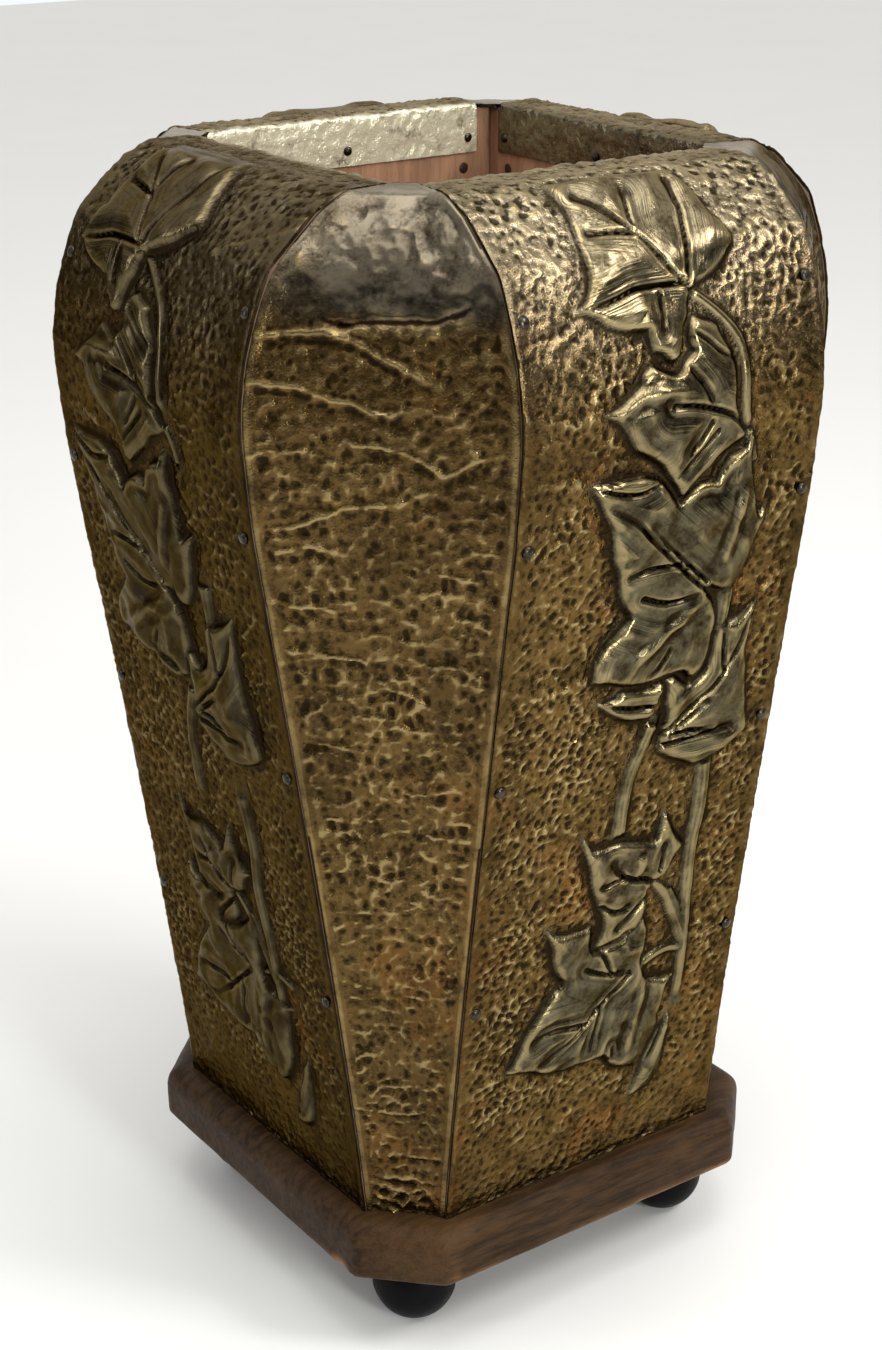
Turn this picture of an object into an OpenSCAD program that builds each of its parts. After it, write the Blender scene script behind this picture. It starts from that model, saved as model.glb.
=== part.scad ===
// Umbrella stand: a square wooden box on a moulded base with four ball feet,
// cased in embossed sheet brass that swells from the foot to a high shoulder.
// Origin: centre of the footprint, on the floor. +Z up, the front faces -Y. Millimetres.

/* [Body] */
// Height of the brass-cased body above the base plate
body_h = 500; // [440:10:560]
// Half width across the flats at the bottom of the body
foot_half = 112.9; // [110:0.1:116]
// Half width across the flats where the straight flare ends
flare_half = 164.5; // [158:0.5:168]
// How strongly the flare hollows (1 is a straight line)
flare_power = 1.12; // [1:0.01:1.25]
// Half width of the four broad side panels
panel_half = 84; // [80:0.5:86]
// Thickness of the sheet brass
sheet = 1; // [0.6:0.1:1.2]
// Step of the corner panels behind the edges of the side panels
corner_recess = 1.5; // [1:0.1:2]

/* [Opening] */
// Half width of the square opening between the brass folds
opening_half = 87.5; // [86:0.5:89]
// Half width of a side panel where it folds into the opening
fold_half = 79.5; // [76:0.5:82]
// Depth of the brass fold inside the opening
fold_h = 24; // [16:1:30]

/* [Carcass] */
// Thickness of the four wall boards
board_t = 8; // [6:0.5:8]
// Thickness of the ribs that carry the panel edges
rib_t = 18; // [14:1:20]
// Height of the rails under the rim
rail_h = 20; // [14:1:20]

/* [Base] */
// Half width across the flats of the base plate
plate_half = 126; // [124:0.5:130]
// Distance from the centre line to where each corner is cut off
plate_corner = 92.5; // [90:0.5:96]
// Thickness of the base plate
plate_t = 29; // [24:1:32]
// Radius of the rounding round the top edge of the base plate
plate_round = 11; // [8:0.5:12]
// Diameter of a ball foot
foot_d = 43; // [38:0.5:46]
// Distance of each foot from both centre lines
foot_pos = 82; // [76:1:86]

/* [Drip tray] */
// Half width of the lift-out tray over its walls
tray_half = 81; // [76:0.5:82]
// Height of the tray
tray_h = 40; // [25:1:60]

/* [Hidden] */
$fn = 48;

// Levels
foot_flat = 0.8;                       // depth of the flat under each ball
foot_h = foot_d;                       // floor to the underside of the base plate
plate_top = foot_h + plate_t;          // the body stands at this level
board_h = body_h - sheet;              // boards and ribs stop under the brass top
board_in = opening_half + sheet;       // inner face of the boards
board_out = board_in + board_t;        // outer face of the boards

// Colours
brass = [0.45, 0.34, 0.14];
brass_dark = [0.36, 0.26, 0.10];
pine = [0.55, 0.30, 0.18];
stained = [0.20, 0.14, 0.11];
black = [0.03, 0.03, 0.04];
iron = [0.14, 0.12, 0.11];
zinc = [0.55, 0.56, 0.57];

// Outline of the body as [half width, height] points, from the foot to the opening.
// The lower part is a hollow flare; the shoulder is hammered in flats.
flare_h = 0.72 * body_h;
flare_steps = 6;
flare = [for (i = [0:flare_steps])
    [foot_half + (flare_half - foot_half) * pow(i / flare_steps, flare_power), flare_h * i / flare_steps]];
shoulder = [[flare_half + 3.6, 0.801 * body_h], [flare_half + 3.5, 0.829 * body_h],
    [flare_half + 0.7, 0.870 * body_h], [flare_half - 5.3, 0.908 * body_h],
    [flare_half - 12.7, 0.944 * body_h], [flare_half - 35.9, 0.9866 * body_h]];
rim_crease = [foot_half, body_h];
rim_edge = [opening_half, body_h];
swell = concat(flare, shoulder);
outline = concat(swell, [rim_crease, rim_edge]);
rim_fold = [opening_half, body_h - fold_h];

// Left normal of the line from a to b, and the mitred offset of a run of points to its left
function left_of(a, b) = [a[1] - b[1], b[0] - a[0]] / norm(b - a);
function beside(p, d) = [for (i = [0:len(p) - 1])
    let (before = left_of(p[max(i - 1, 0)], p[max(i, 1)]),
         after = left_of(p[min(i, len(p) - 2)], p[min(i + 1, len(p) - 1)]))
    p[i] + d * (before + after) / (1 + before * after)];
function reversed(p) = [for (i = [len(p) - 1:-1:0]) p[i]];
// Half width of a run of points at height z, and the slope there in degrees
function half_at(p, z) = lookup(z, [for (q = p) [q[1], q[0]]]);
function lean_at(z) = atan((half_at(swell, z + 1) - half_at(swell, z - 1)) / 2);

// Places round the body: angle of each side from the back, and of each corner
side_angle = [180, 90, 0, -90];
corner_angle = [180, -90, 90, 0];

// Draws a [half width, height] shape in the plane across a side that faces +Y, t thick
module across(t, centred = true) {
    rotate([90, 0, 90]) linear_extrude(t, center = centred) children();
}
module on_side(i) {
    translate([0, 0, plate_top]) rotate([0, 0, side_angle[i]]) children();
}
module each_side() {
    for (i = [0:3]) on_side(i) children();
}

// ---- Base ----
module octagon(half, corner) {
    polygon([for (s = [[1, 1], [-1, 1], [-1, -1], [1, -1]])
        each (s[0] * s[1] > 0
            ? [[s[0] * half, s[1] * corner], [s[0] * corner, s[1] * half]]
            : [[s[0] * corner, s[1] * half], [s[0] * half, s[1] * corner]])]);
}

tenon_r = 7;
tenon_l = 14;
bore_gap = 0.05;
screw_r = 2;
screw_head_r = 4;
screw_l = 45;
screw_pos = 45;

module screw_places() {
    for (i = [0:3], x = [-screw_pos, screw_pos])
        rotate([0, 0, side_angle[i]]) translate([x, board_in + board_t / 2, foot_h]) children();
}

module base_plate() color(stained) difference() {
    hull() {
        translate([0, 0, foot_h]) linear_extrude(plate_t - plate_round) octagon(plate_half, plate_corner);
        for (a = [15:15:90])
            let (inset = plate_round * (1 - cos(a)))
            translate([0, 0, plate_top - plate_round])
                linear_extrude(plate_round * sin(a))
                    octagon(plate_half - inset, plate_corner - inset * tan(22.5));
    }
    for (x = [-foot_pos, foot_pos], y = [-foot_pos, foot_pos])
        translate([x, y, foot_h - 1]) cylinder(r = tenon_r + bore_gap, h = tenon_l + 2);
    screw_places() {
        translate([0, 0, -1]) cylinder(r = screw_r + 0.1, h = plate_t + 2);
        translate([0, 0, -0.01]) cylinder(r1 = screw_head_r + 0.1, r2 = screw_r + 0.1, h = 2.5);
    }
}

module foot(x, y) color(black) translate([x * foot_pos, y * foot_pos, 0]) {
    collar_r = 10;
    collar_h = 5;
    intersection() {
        translate([0, 0, foot_d / 2 - foot_flat]) sphere(d = foot_d);
        translate([-foot_d, -foot_d, 0]) cube([2 * foot_d, 2 * foot_d, foot_h]);
    }
    translate([0, 0, foot_h - collar_h]) cylinder(r = collar_r, h = collar_h);
    translate([0, 0, foot_h - 1]) cylinder(r = tenon_r, h = tenon_l + 1);
}

module base_screws() color(iron) screw_places() {
    cylinder(r = screw_r, h = screw_l);
    cylinder(r1 = screw_head_r, r2 = screw_r, h = 2.4);
}

// ---- Wooden carcass ----
// The front and back boards run the full width, the left and right ones fit between them
module wall_board(i) color(pine) on_side(i) {
    half = i % 2 == 0 ? board_out : board_in;
    translate([-half, board_in, 0]) cube([2 * half, board_t, board_h]);
}

module rib(i, end) color(pine) on_side(i)
    translate([end > 0 ? panel_half - rib_t : -panel_half, 0, 0]) across(rib_t, false)
        polygon(concat([[board_out, 0]],
            [for (q = beside(outline, sheet)) if (q[0] > board_out) q],
            [[board_out, board_h]]));

module rim_rail(i) color(pine) on_side(i) across(2 * (panel_half - rib_t)) {
    under = beside(outline, sheet);
    low = board_h - rail_h;
    polygon(concat([[board_out, low], [half_at([for (k = [0:len(swell) - 1]) under[k]], low), low]],
        [for (q = under) if (q[1] > low && q[0] > board_out) q],
        [[board_out, board_h]]));
}

// ---- Brass casing ----
// Runs up the outside, over the rim and down into the opening
module side_panel(i) color(brass) on_side(i) intersection() {
    run = concat(outline, [rim_fold]);
    across(2 * panel_half) polygon(concat(run, reversed(beside(run, sheet))));
    linear_extrude(body_h) polygon([for (s = [1, -1])
        each (s > 0
            ? [[fold_half, 0], [fold_half, opening_half], [panel_half, foot_half], [panel_half, 2 * flare_half]]
            : [[-panel_half, 2 * flare_half], [-panel_half, foot_half], [-fold_half, opening_half],
                [-fold_half, 0]])]);
}

// The corner strip bridges two side panels. Its long edges turn in against the ribs.
flange_d = 8;
function diagonal(p) = (p + panel_half) / sqrt(2);
function corner_half(p) = (p - panel_half) / sqrt(2) - sheet;
corner_run = concat(beside(swell, corner_recess), [rim_crease]);

module corner_face() rotate([0, 0, -45]) intersection() {
    tip = [(opening_half + fold_half) / sqrt(2), (opening_half - fold_half) / sqrt(2) - sheet];
    crease = [diagonal(foot_half), corner_half(foot_half)];
    band = concat([for (q = corner_run) [diagonal(q[0]), q[1]]], [[tip[0], body_h]]);
    across(4 * panel_half) polygon(concat(band, reversed(beside(band, sheet))));
    edge = concat([for (q = corner_run) [corner_half(q[0]), q[1]]], [[crease[1], 2 * body_h]]);
    rotate([90, 0, 0]) linear_extrude(4 * body_h, center = true)
        polygon(concat(edge, [for (q = reversed(edge)) [-q[0], q[1]]]));
    linear_extrude(2 * body_h) polygon([[-tip[1], tip[0]], [tip[1], tip[0]], [crease[1], crease[0]],
        [2 * flare_half, crease[0]], [2 * flare_half, 4 * flare_half],
        [-2 * flare_half, 4 * flare_half], [-2 * flare_half, crease[0]], [-crease[1], crease[0]]]);
}

module corner_flange() translate([panel_half, 0, 0]) across(sheet, false)
    polygon(concat(beside(swell, corner_recess), reversed(beside(swell, corner_recess + flange_d))));

module corner_panel(i) color(brass_dark)
    translate([0, 0, plate_top]) rotate([0, 0, corner_angle[i]]) {
        corner_face();
        corner_flange();
        mirror([1, -1, 0]) corner_flange();
    }

// ---- Nails and tacks ----
// The head sits above z = 0 and the shank points down
module round_nail(head_r, head_h, r, l) {
    ball_r = (head_r * head_r + head_h * head_h) / (2 * head_h);
    intersection() {
        translate([0, 0, head_h - ball_r]) sphere(r = ball_r);
        translate([-head_r - 1, -head_r - 1, 0]) cube([2 * head_r + 2, 2 * head_r + 2, head_h + 1]);
    }
    translate([0, 0, -l]) cylinder(r = r, h = l + head_h / 2);
}
module flat_nail(head_r, head_h, r, l) {
    cylinder(r = head_r, h = head_h);
    translate([0, 0, -l]) cylinder(r = r, h = l + head_h / 2);
}

nail_x = 78;
module panel_nails() color(iron) each_side()
    for (x = [-nail_x, nail_x], z = [0.24, 0.48, 0.715, 0.908] * body_h)
        translate([x, half_at(swell, z), z]) rotate([-90 - lean_at(z), 0, 0])
            round_nail(3, 1.8, 0.9, 16);

module rim_nails() color(iron) each_side()
    for (x = [-74, 0, 74])
        translate([x, opening_half, body_h - 16.5]) rotate([90, 0, 0]) round_nail(2.4, 1.3, 0.8, 7.5);

module rib_nails() color(iron) each_side()
    for (x = [-72, 72], z = [50, 190, 330, 468] / 500 * body_h)
        translate([x, board_in, z]) rotate([90, 0, 0]) flat_nail(2.8, 0.6, 1.1, 20);

module box_nails() color(iron)
    for (i = [0, 2], x = [-1, 1], z = [40, 180, 320, 460] / 500 * body_h)
        on_side(i) translate([x * (board_in + board_t / 2), board_out, z])
            rotate([-90, 0, 0]) flat_nail(2.5, 0.6, 1, 28);

module corner_tacks() color(iron) each_side()
    for (s = [-1, 1], z = [60, 180, 300, 400] / 500 * body_h)
        translate([s * (panel_half + sheet), half_at(swell, z) - corner_recess - 6, z])
            rotate([0, s * 90, 0]) flat_nail(1.6, 0.5, 0.7, 9);

// ---- Drip tray ----
tray_r = 12;
tray_t = 1;
bead_r = 2;
module rounded_square(half, r) {
    square([2 * half, 2 * (half - r)], center = true);
    square([2 * (half - r), 2 * half], center = true);
    for (x = [-1, 1], y = [-1, 1]) translate([x, y] * (half - r)) circle(r);
}
module drip_tray() color(zinc) translate([0, 0, plate_top]) {
    middle = tray_half - tray_t / 2;
    difference() {
        linear_extrude(tray_h - bead_r) rounded_square(tray_half, tray_r);
        translate([0, 0, tray_t]) linear_extrude(tray_h) rounded_square(tray_half - tray_t, tray_r - tray_t);
    }
    translate([0, 0, tray_h - bead_r]) for (a = [0:90:270]) rotate([0, 0, a]) {
        translate([middle, 0, 0]) rotate([90, 0, 0])
            cylinder(r = bead_r, h = 2 * (tray_half - tray_r), center = true);
        translate([tray_half - tray_r, tray_half - tray_r, 0]) rotate_extrude(angle = 90)
            translate([tray_r - tray_t / 2, 0]) circle(bead_r);
    }
}

base_plate();
foot(-1, -1);  // foot_front_left
foot(1, -1);  // foot_front_right
foot(-1, 1);  // foot_back_left
foot(1, 1);  // foot_back_right
wall_board(0);  // wall_board_front
wall_board(1);  // wall_board_left
wall_board(2);  // wall_board_back
wall_board(3);  // wall_board_right
rib(0, 1);  // rib_front_a
rib(0, -1);  // rib_front_b
rib(1, 1);  // rib_left_a
rib(1, -1);  // rib_left_b
rib(2, 1);  // rib_back_a
rib(2, -1);  // rib_back_b
rib(3, 1);  // rib_right_a
rib(3, -1);  // rib_right_b
rim_rail(0);  // rim_rail_front
rim_rail(1);  // rim_rail_left
rim_rail(2);  // rim_rail_back
rim_rail(3);  // rim_rail_right
side_panel(0);  // side_panel_front
side_panel(1);  // side_panel_left
side_panel(2);  // side_panel_back
side_panel(3);  // side_panel_right
corner_panel(0);  // corner_panel_front_left
corner_panel(1);  // corner_panel_front_right
corner_panel(2);  // corner_panel_back_left
corner_panel(3);  // corner_panel_back_right
panel_nails();
rim_nails();
rib_nails();
box_nails();
corner_tacks();
base_screws();
drip_tray();
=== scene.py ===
"""Umbrella stand in embossed sheet brass over a wooden box, on a moulded base with four ball feet.

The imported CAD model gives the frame. Each visible piece is a mesh made here, in metres, and rides
on its CAD body. Relief is worked out on a grid for each sheet, in millimetres along the sheet.
"""
import math

import bpy
import numpy as np
from mathutils import Matrix, Vector


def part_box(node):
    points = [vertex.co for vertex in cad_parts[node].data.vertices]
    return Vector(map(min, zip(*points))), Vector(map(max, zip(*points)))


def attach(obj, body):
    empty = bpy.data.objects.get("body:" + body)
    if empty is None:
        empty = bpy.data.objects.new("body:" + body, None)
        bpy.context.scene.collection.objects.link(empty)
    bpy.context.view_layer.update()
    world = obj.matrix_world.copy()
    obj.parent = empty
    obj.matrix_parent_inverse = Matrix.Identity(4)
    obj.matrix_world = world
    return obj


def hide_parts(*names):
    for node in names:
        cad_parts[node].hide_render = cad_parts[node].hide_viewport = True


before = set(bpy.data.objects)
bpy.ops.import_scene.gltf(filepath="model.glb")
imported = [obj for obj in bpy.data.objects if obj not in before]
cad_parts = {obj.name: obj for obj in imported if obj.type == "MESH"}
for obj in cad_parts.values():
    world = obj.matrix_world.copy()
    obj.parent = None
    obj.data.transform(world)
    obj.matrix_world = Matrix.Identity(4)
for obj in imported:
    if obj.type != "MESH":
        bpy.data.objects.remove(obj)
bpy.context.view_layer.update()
MM = 0.001

# ---- Camera ----
CAMERA_AT = Vector((-0.6426, -0.8967, 0.7423))
CAMERA_AIM = Vector((-0.0077, -0.0023, 0.3056))
CAMERA_ROLL = math.radians(-0.18)
CAMERA_LENS = 62.17
SENSOR_HEIGHT = 36.0


def add_camera():
    data = bpy.data.cameras.new("camera")
    data.sensor_fit = "VERTICAL"
    data.sensor_height = SENSOR_HEIGHT
    data.lens = CAMERA_LENS
    camera = bpy.data.objects.new("camera", data)
    look = (CAMERA_AIM - CAMERA_AT).to_track_quat("-Z", "Y").to_matrix()
    roll = Matrix.Rotation(CAMERA_ROLL, 3, "Z")
    camera.matrix_world = Matrix.Translation(CAMERA_AT) @ (look @ roll).to_4x4()
    bpy.context.scene.collection.objects.link(camera)
    bpy.context.scene.camera = camera


add_camera()

# ---- Driving sizes, in millimetres ----
# The base plate: its underside, top, half width, half length of a straight side, and rounding
PLATE_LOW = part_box("base_plate")[0].z / MM
PLATE_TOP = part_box("base_plate")[1].z / MM
PLATE_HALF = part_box("base_plate")[1].x / MM
PLATE_CORNER = 92.5
PLATE_ROUND = 11.0
PLATE_POINTS = 360
PLATE_EASE = 0.8
# The body: half widths at the foot and at the top of the flare, and the flare's height and curve
BODY_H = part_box("side_panel_front")[1].z / MM - PLATE_TOP
FOOT_HALF = 112.9
FLARE_HALF = 164.5
FLARE_H = 360.0
FLARE_POWER = 1.12
# The sheets: half widths of a side panel, the opening and the fold into it, the fold's depth, the
# thickness, the corner strips' setback, their turned-in edges and the gap at a seam (here a lap)
PANEL_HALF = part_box("side_panel_front")[1].x / MM
OPENING_HALF = 87.5
FOLD_HALF = 79.5
FOLD_H = 24.0
SHEET = 1.0
RECESS = 1.5
FLANGE = 8.0
SEAM = -0.5
# The grids: spacing, columns of a corner strip, and how far bends are eased
GRID = 1.0
CORNER_COLUMNS = 90
SIDE_EASE = 3.5
CORNER_EASE = 8.0
CRISP = 1.7
SHARP_TURN = math.radians(50)
# Polish follows how far a point stands above its surroundings
CREST_BLUR = 2.4
CREST_DEPTH = 0.8
# Crest of the sheets' backs and cut edges, low enough to paint them dark as shade
SHADED_UNDERSIDE = -1.2
FOOT_EDGE = 2.2
# Nails and boards
NAIL_LIFT = 0.3
BOARD_STEP = 5.0
BOARD_BEVEL = 1.0

ROOT2 = math.sqrt(2)
TAN_22 = math.tan(math.radians(22.5))
NOISE_SIZE = 64

# Outward and rightward directions of each side and corner, seen from outside
SIDES = {
    "front": ((0, -1), (1, 0)),
    "left": ((-1, 0), (0, -1)),
    "back": ((0, 1), (-1, 0)),
    "right": ((1, 0), (0, 1)),
}
CORNERS = {
    "front_left": ((-1, -1), (1, -1)),
    "front_right": ((1, -1), (1, 1)),
    "back_right": ((1, 1), (-1, 1)),
    "back_left": ((-1, 1), (-1, -1)),
}


# ---- Small maths ----
def smooth(x):
    x = np.clip(x, 0, 1)
    return x * x * (3 - 2 * x)


def bell(distance, width):
    return np.exp(-((distance / width) ** 2))


def run_lengths(points):
    """The length from the first point to each point of a run."""
    return np.concatenate([[0], np.cumsum(np.hypot(*np.diff(points, axis=0).T))])


def unit(vectors):
    return vectors / np.hypot(*vectors.T)[:, None]


def sampled(places, lengths, points):
    """Points at given places along a run whose own points lie at the given lengths."""
    return np.stack([np.interp(places, lengths, points[:, k]) for k in (0, 1)], 1)


def bell_taps(reach, spread):
    """Weights of a Gaussian blur, which add up to 1."""
    taps = np.exp(-0.5 * (np.arange(-reach, reach + 1) / spread) ** 2)
    return taps / taps.sum()


def value_noise(x, y, seed):
    """Smooth noise from -1 to 1, with one feature per unit."""
    n = NOISE_SIZE
    table = np.random.default_rng(seed).uniform(-1, 1, (n, n))
    ix = np.floor(x).astype(int)
    iy = np.floor(y).astype(int)
    fx = smooth(x - ix)
    fy = smooth(y - iy)
    corner = [[table[(ix + a) % n, (iy + b) % n] for b in (0, 1)] for a in (0, 1)]
    low = corner[0][0] * (1 - fx) + corner[1][0] * fx
    high = corner[0][1] * (1 - fx) + corner[1][1] * fx
    return low * (1 - fy) + high * fy


def fractal(x, y, size, seed, octaves=3):
    """Noise whose largest features are size millimetres across."""
    total = 0
    for k in range(octaves):
        total = total + value_noise(x / size * 2**k + 7.3 * k, y / size * 2**k, seed + k) / 2**k
    return total / 1.6


def cells(x, y, size, seed, jitter):
    """Distance to the nearest of a scatter of points about size apart, its random number, and how
    much farther the second nearest is."""
    n = NOISE_SIZE
    gx = x / size
    gy = y / size
    rng = np.random.default_rng(seed)
    table = rng.uniform(-0.5, 0.5, (n, n, 2)) * jitter
    luck = rng.uniform(0, 1, (n, n))
    ix = np.floor(gx).astype(int)
    iy = np.floor(gy).astype(int)
    best = np.full(x.shape, 99.0)
    second = np.full(x.shape, 99.0)
    chance = np.zeros(x.shape)
    for a in (-1, 0, 1):
        for b in (-1, 0, 1):
            jx = ix + a
            jy = iy + b
            row_shift = 0.5 * (jy % 2) - 0.25
            place = table[jx % n, jy % n]
            off_x = jx + 0.5 + row_shift + place[..., 0] - gx
            off_y = jy + 0.5 + place[..., 1] - gy
            away = np.hypot(off_x, off_y)
            nearer = away < best
            second = np.where(nearer, best, np.minimum(second, away))
            best = np.where(nearer, away, best)
            chance = np.where(nearer, luck[jx % n, jy % n], chance)
    return best * size, chance, (second - best) * size


def blurred(grid, spread):
    """Gaussian blur of a grid, spread in cells."""
    reach = int(3 * spread) + 1
    taps = bell_taps(reach, spread)
    for axis in (0, 1):
        pad = [(reach, reach) if k == axis else (0, 0) for k in (0, 1)]
        wide = np.pad(grid, pad, mode="edge")
        count = grid.shape[axis]
        grid = sum(w * np.take(wide, range(k, k + count), axis) for k, w in enumerate(taps))
    return grid


def rounded(points, closed=False, steps=3):
    """A smooth curve through the points that keeps corners which turn by more than SHARP_TURN."""
    p = np.array(points, float)
    count = len(p)
    before = np.roll(p, 1, 0) if closed else np.vstack([p[:1], p[:-1]])
    after = np.roll(p, -1, 0) if closed else np.vstack([p[1:], p[-1:]])
    into = p - before
    out = after - p
    turn = np.arctan2(into[:, 0] * out[:, 1] - into[:, 1] * out[:, 0], (into * out).sum(1))
    blunt = (np.abs(turn) < SHARP_TURN)[:, None]
    slope = np.where(blunt, (after - before) / 2, 0)
    made = []
    for i in range(count if closed else count - 1):
        j = (i + 1) % count
        for t in np.arange(steps) / steps:
            made.append(
                (2 * t**3 - 3 * t**2 + 1) * p[i]
                + (t**3 - 2 * t**2 + t) * slope[i]
                + (3 * t**2 - 2 * t**3) * p[j]
                + (t**3 - t**2) * slope[j]
            )
    if not closed:
        made.append(p[-1])
    return np.array(made)


def line_distance(u, s, points):
    """Distance from each place to a run of points, and how far along it is nearest, from 0 to 1."""
    best = np.full(u.shape, 1e6)
    along = np.zeros(u.shape)
    ends = run_lengths(points)
    ends = ends / max(ends[-1], 1e-6)
    for k in range(len(points) - 1):
        a = points[k]
        d = points[k + 1] - a
        t = np.clip(((u - a[0]) * d[0] + (s - a[1]) * d[1]) / max(d @ d, 1e-9), 0, 1)
        away = np.hypot(u - a[0] - t * d[0], s - a[1] - t * d[1])
        nearer = away < best
        best = np.where(nearer, away, best)
        along = np.where(nearer, ends[k] + t * (ends[k + 1] - ends[k]), along)
    return best, along


def inside_distance(u, s, outline):
    """Distance to a closed outline, positive inside it."""
    loop = np.vstack([outline, outline[:1]])
    away, _ = line_distance(u, s, loop)
    inside = np.zeros(u.shape, bool)
    for a, b in zip(loop[:-1], loop[1:]):
        if a[1] == b[1]:
            continue
        spans = (a[1] > s) != (b[1] > s)
        inside ^= spans & (u < a[0] + (s - a[1]) * (b[0] - a[0]) / (b[1] - a[1]))
    return np.where(inside, away, -away)


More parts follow.
